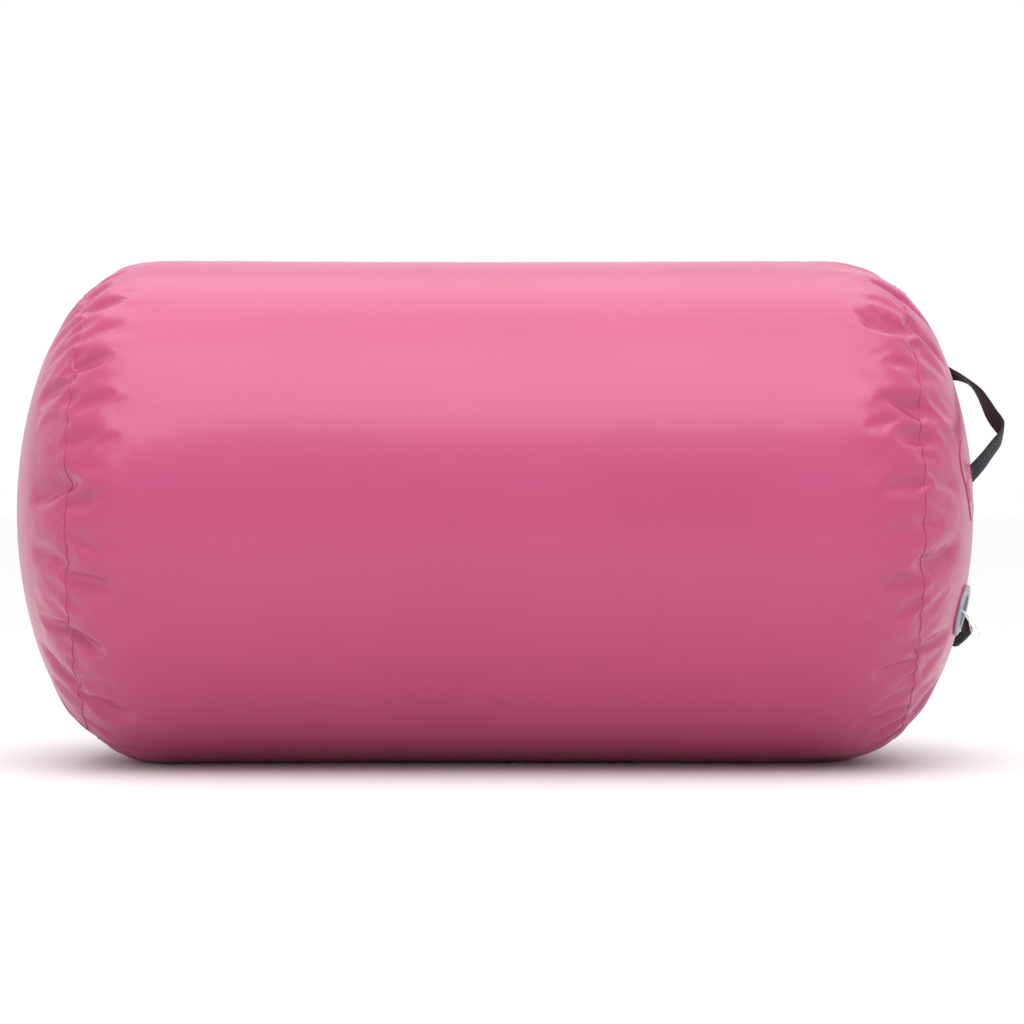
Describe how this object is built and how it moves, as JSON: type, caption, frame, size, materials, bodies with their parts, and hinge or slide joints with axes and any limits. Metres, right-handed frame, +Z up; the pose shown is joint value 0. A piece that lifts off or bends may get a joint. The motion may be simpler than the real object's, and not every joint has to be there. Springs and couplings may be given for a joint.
{
  "type": "inflatable gymnastics roll",
  "caption": "Air-filled gymnastics roll: a drum-shaped inflatable with domed ends, webbing hand loops and a recessed, corded air valve on one end.",
  "frame": {"origin": "on the flat sole, under the middle of the roll", "axes": "+X along the roll towards the end with the valve, +Z up from the floor, +Y to the back"},
  "size_m": [1.1532, 0.5998, 0.596],
  "materials": {
    "pink_pvc": "satin",
    "navy_webbing": "matte",
    "grey_plastic": "satin",
    "dark_plastic": "satin",
    "black_rubber": "matte",
    "spring_steel": "satin",
    "white_cord": "matte"
  },
  "bodies": {
    "roll": {"barrel_panel": "pink_pvc", "barrel_seam_tape": "pink_pvc", "end_panel_plain": "pink_pvc", "end_panel_valve": "pink_pvc", "lower_patch_high": "pink_pvc", "lower_patch_low": "pink_pvc", "lower_web_end_high": "navy_webbing", "lower_web_end_low": "navy_webbing", "seam_tape_plain": "pink_pvc", "seam_tape_valve": "pink_pvc", "upper_patch_high": "pink_pvc", "upper_patch_low": "pink_pvc", "upper_web_end_high": "navy_webbing", "upper_web_end_low": "navy_webbing", "valve_collar": "grey_plastic", "valve_gasket": "black_rubber", "valve_nut": "grey_plastic", "valve_pad": "pink_pvc", "valve_spring": "spring_steel"},
    "upper_loop": {"upper_web_loop": "navy_webbing"},
    "lower_loop": {"lower_web_loop": "navy_webbing"},
    "cap_carrier": {"cap_swivel": "grey_plastic", "cord_crimp": "white_cord", "cap_cord": "white_cord"},
    "cap": {"valve_cap": "grey_plastic", "cap_o_ring": "black_rubber"},
    "plunger": {"spring_washer": "spring_steel"},
    "stem": {"valve_stem": "dark_plastic", "valve_button": "dark_plastic", "valve_seal": "black_rubber", "valve_disc": "dark_plastic", "stem_clip": "spring_steel"}
  },
  "joints": [
    {"name": "upper_loop_swing", "type": "hinge", "parent": "roll", "child": "upper_loop", "pos_m": [0.55187, -0.07041, 0.40519], "axis": [-0.028, 0.7758, 0.6303], "range_deg": [-55, 55]},
    {"name": "lower_loop_swing", "type": "hinge", "parent": "roll", "child": "lower_loop", "pos_m": [0.55187, 0.09375, 0.20605], "axis": [0.028, -0.7668, -0.6413], "range_deg": [0, 110]},
    {"name": "cap_lift", "type": "slide", "parent": "roll", "child": "cap_carrier", "axis": [0.9272, -0.2891, -0.2383], "range_m": [0, 0.05]},
    {"name": "cap_turn", "type": "hinge", "parent": "cap_carrier", "child": "cap", "pos_m": [0.53331, -0.13581, 0.18405], "axis": [0.9272, -0.2891, -0.2383], "range_deg": [0, 90]},
    {"name": "stem_push", "type": "slide", "parent": "roll", "child": "plunger", "axis": [-0.9272, 0.2891, 0.2383], "range_m": [0, 0.004], "stiffness_N_per_m": 2000, "springref_m": -0.002, "deforming": ["valve_spring"]},
    {"name": "stem_turn", "type": "hinge", "parent": "plunger", "child": "stem", "pos_m": [0.53331, -0.13581, 0.18405], "axis": [0.9272, -0.2891, -0.2383], "range_deg": [0, 90]}
  ]
}
